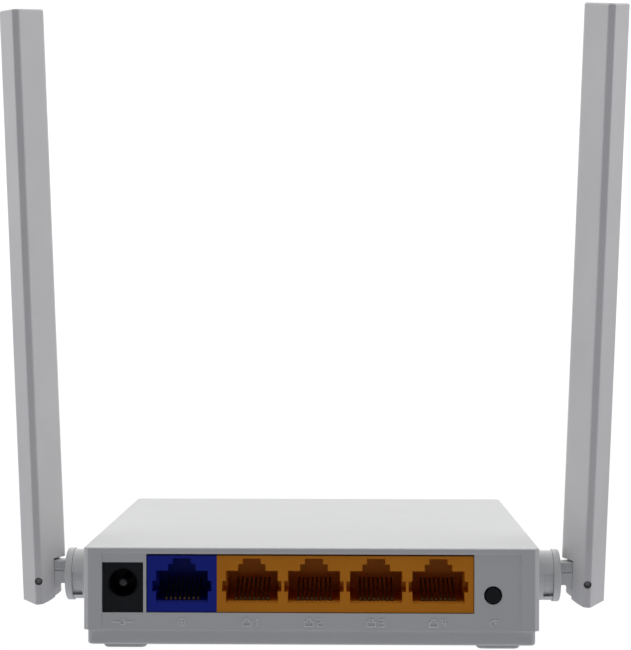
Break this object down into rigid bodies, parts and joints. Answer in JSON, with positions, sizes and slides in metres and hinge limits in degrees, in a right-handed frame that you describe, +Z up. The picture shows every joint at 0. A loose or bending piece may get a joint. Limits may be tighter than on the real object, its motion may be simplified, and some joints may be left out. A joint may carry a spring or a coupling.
{
  "type": "wireless router",
  "caption": "Flat square wireless router with a folding, swivelling antenna on each side, and network sockets, a power inlet and a recessed reset button along its rear.",
  "frame": {"origin": "on the table, under the centre of the case", "axes": "+Z up, -Y towards the side with the sockets, +Y towards the side with the indicator lights, +X to the right seen from the socket side"},
  "size_m": [0.1463, 0.096, 0.1471],
  "materials": {
    "case_plastic": "fine moulded grain",
    "antenna_plastic": "fine moulded grain",
    "hinge_plastic": "satin",
    "blue_plastic": "moulded, satin",
    "orange_plastic": "moulded, satin",
    "black_plastic": "satin",
    "foot_rubber": "matt",
    "label_film": "satin film",
    "zinc_steel": "zinc plated",
    "nickel": "tin and nickel plate",
    "gold_contact": "gold flash",
    "copper_foil": "etched copper",
    "board_laminate": "solder mask",
    "chip_package": "moulded epoxy",
    "capacitor_sleeve": "shrink sleeve",
    "ferrite": "sintered",
    "led_lens": "clear resin",
    "clear_plastic": "frosted",
    "coax_jacket": "smooth jacket"
  },
  "bodies": {
    "case": {"top_cover": "case_plastic", "bottom_cover": "case_plastic", "rubber_feet": "foot_rubber", "rating_label": "label_film", "case_screws": "zinc_steel", "board_screws": "zinc_steel", "main_board": "board_laminate", "power_inlet_housing": "black_plastic", "power_inlet_pin": "nickel", "power_inlet_spring_contact": "nickel", "wan_socket_housing": "blue_plastic", "wan_socket_contacts": "gold_contact", "lan_socket_housing": "orange_plastic", "lan_socket_1_contacts": "gold_contact", "lan_socket_2_contacts": "gold_contact", "lan_socket_3_contacts": "gold_contact", "lan_socket_4_contacts": "gold_contact", "reset_switch": "black_plastic", "reset_switch_frame": "nickel", "indicator_leds": "led_lens", "light_guide": "clear_plastic", "processor_chip": "chip_package", "memory_chip": "chip_package", "flash_chip": "chip_package", "radio_chip": "chip_package", "radio_shield": "nickel", "line_transformers": "chip_package", "smoothing_capacitors": "capacitor_sleeve", "power_inductor": "ferrite", "crystal": "nickel", "coax_plugs": "gold_contact", "right_antenna_socket": "hinge_plastic", "right_coax_lead_in_case": "coax_jacket", "left_antenna_socket": "hinge_plastic", "left_coax_lead_in_case": "coax_jacket"},
    "left_elbow": {"left_antenna_elbow": "hinge_plastic", "left_coax_lead_in_elbow": "coax_jacket"},
    "left_antenna": {"left_antenna_blade": "antenna_plastic", "left_antenna_face_cover": "antenna_plastic", "left_antenna_hinge_pin": "nickel", "left_antenna_board": "board_laminate", "left_antenna_dipole": "copper_foil", "left_coax_lead_in_antenna": "coax_jacket"},
    "right_elbow": {"right_antenna_elbow": "hinge_plastic", "right_coax_lead_in_elbow": "coax_jacket"},
    "right_antenna": {"right_antenna_blade": "antenna_plastic", "right_antenna_face_cover": "antenna_plastic", "right_antenna_hinge_pin": "nickel", "right_antenna_board": "board_laminate", "right_antenna_dipole": "copper_foil", "right_coax_lead_in_antenna": "coax_jacket"},
    "reset_button": {"reset_button": "black_plastic"}
  },
  "joints": [
    {"name": "right_antenna_swivel", "type": "hinge", "parent": "case", "child": "right_elbow", "pos_m": [0.0578, -0.0285, 0.01395], "axis": [1, 0, 0], "range_deg": [-95.2, 84.8]},
    {"name": "right_antenna_fold", "type": "hinge", "parent": "right_elbow", "child": "right_antenna", "pos_m": [0.06395, -0.02842, 0.01305], "axis": [0, 0.9959, 0.0906], "range_deg": [-1.5, 88.5]},
    {"name": "left_antenna_swivel", "type": "hinge", "parent": "case", "child": "left_elbow", "pos_m": [-0.0578, -0.0285, 0.01395], "axis": [1, 0, 0], "range_deg": [-91.5, 88.5]},
    {"name": "left_antenna_fold", "type": "hinge", "parent": "left_elbow", "child": "left_antenna", "pos_m": [-0.06395, -0.02848, 0.01305], "axis": [0, -0.9997, -0.0262], "range_deg": [-2, 88]},
    {"name": "reset_button_press", "type": "slide", "parent": "case", "child": "reset_button", "axis": [0, 1, 0], "range_m": [0, 0.00025], "stiffness_N_per_m": 2000, "springref_m": -0.0005}
  ]
}
